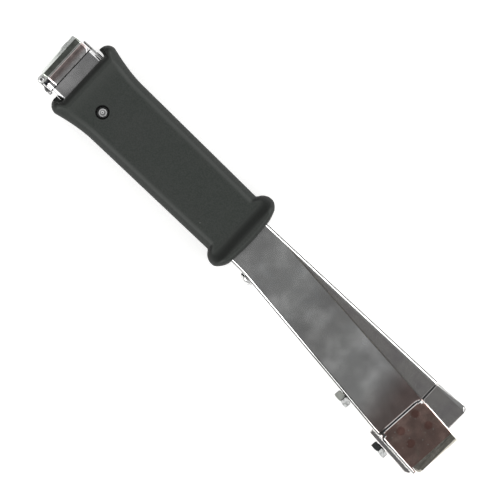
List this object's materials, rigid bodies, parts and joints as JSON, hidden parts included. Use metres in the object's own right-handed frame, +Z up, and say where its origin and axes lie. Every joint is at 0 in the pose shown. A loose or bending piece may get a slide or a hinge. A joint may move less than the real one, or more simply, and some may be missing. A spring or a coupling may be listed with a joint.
{
  "type": "hammer tacker staple gun",
  "caption": "Hammer tacker lying on its side: channel body with a rubber grip, hinged magazine, pull-out core rail and latched tail cap.",
  "frame": {"origin": "on the surface the tool lies on, under the middle of its outline", "axes": "+X along the magazine towards the head, +Y towards the strike side where staples leave, +Z up across the tool's width as it lies on its side"},
  "size_m": [0.3151, 0.0672, 0.039],
  "materials": {
    "body_plate": "bright nickel plate over pressed steel, mottled",
    "satin_steel": "satin plated, fine grain",
    "bright_chrome": "bright",
    "spring_steel": "blued, satin",
    "grip_rubber": "fine matte, moulded",
    "bumper_rubber": "matte"
  },
  "bodies": {
    "hammer": {"body_channel": "body_plate", "handle_cover": "body_plate", "head_front_plate": "body_plate", "catch_strip": "bright_chrome", "catch_rivet": "bright_chrome", "driver_blade": "spring_steel", "driver_strap": "satin_steel", "driver_bolt": "bright_chrome", "driver_washer": "bright_chrome", "driver_nut": "bright_chrome", "leaf_spring": "spring_steel", "leaf_rivet": "bright_chrome", "rubber_bumper": "bumper_rubber", "pivot_pin": "bright_chrome", "grip": "grip_rubber"},
    "magazine": {"magazine_channel": "satin_steel", "nose_plate": "satin_steel", "spring_seat": "satin_steel", "stop_bolt": "bright_chrome", "stop_nut": "bright_chrome", "pivot_washer_upper": "satin_steel", "pivot_washer_lower": "satin_steel"},
    "drawer": {"core_rail": "satin_steel", "rail_nose_block": "satin_steel", "pusher_rod": "bright_chrome", "pusher_spring": "spring_steel", "tail_cap": "body_plate", "tail_block": "satin_steel", "cap_rivet_1": "bright_chrome", "cap_rivet_2": "bright_chrome", "latch_pin": "bright_chrome", "latch_spring": "spring_steel"},
    "pusher": {"pusher": "bright_chrome"},
    "latch": {"latch_lever": "bright_chrome"}
  },
  "joints": [
    {"name": "magazine_hinge", "type": "hinge", "parent": "hammer", "child": "magazine", "pos_m": [-0.1148, 0.0023, 0.0195], "axis": [0, 0, -1], "range_deg": [0, 3.5], "stiffness_Nm_per_rad": 30, "springref_deg": -5.73, "deforming": ["leaf_spring"]},
    {"name": "drawer_slide", "type": "slide", "parent": "magazine", "child": "drawer", "axis": [-1, 0, 0], "range_m": [0, 0.16]},
    {"name": "pusher_slide", "type": "slide", "parent": "drawer", "child": "pusher", "axis": [-1, 0, 0], "range_m": [0, 0.15], "stiffness_N_per_m": 25, "springref_m": -0.08, "deforming": ["pusher_spring"]},
    {"name": "latch_hinge", "type": "hinge", "parent": "drawer", "child": "latch", "pos_m": [-0.153, -0.0075, 0.0195], "axis": [0, 0, -1], "range_deg": [0, 20], "stiffness_Nm_per_rad": 0.02, "springref_deg": -22.92, "deforming": ["latch_spring"]}
  ]
}
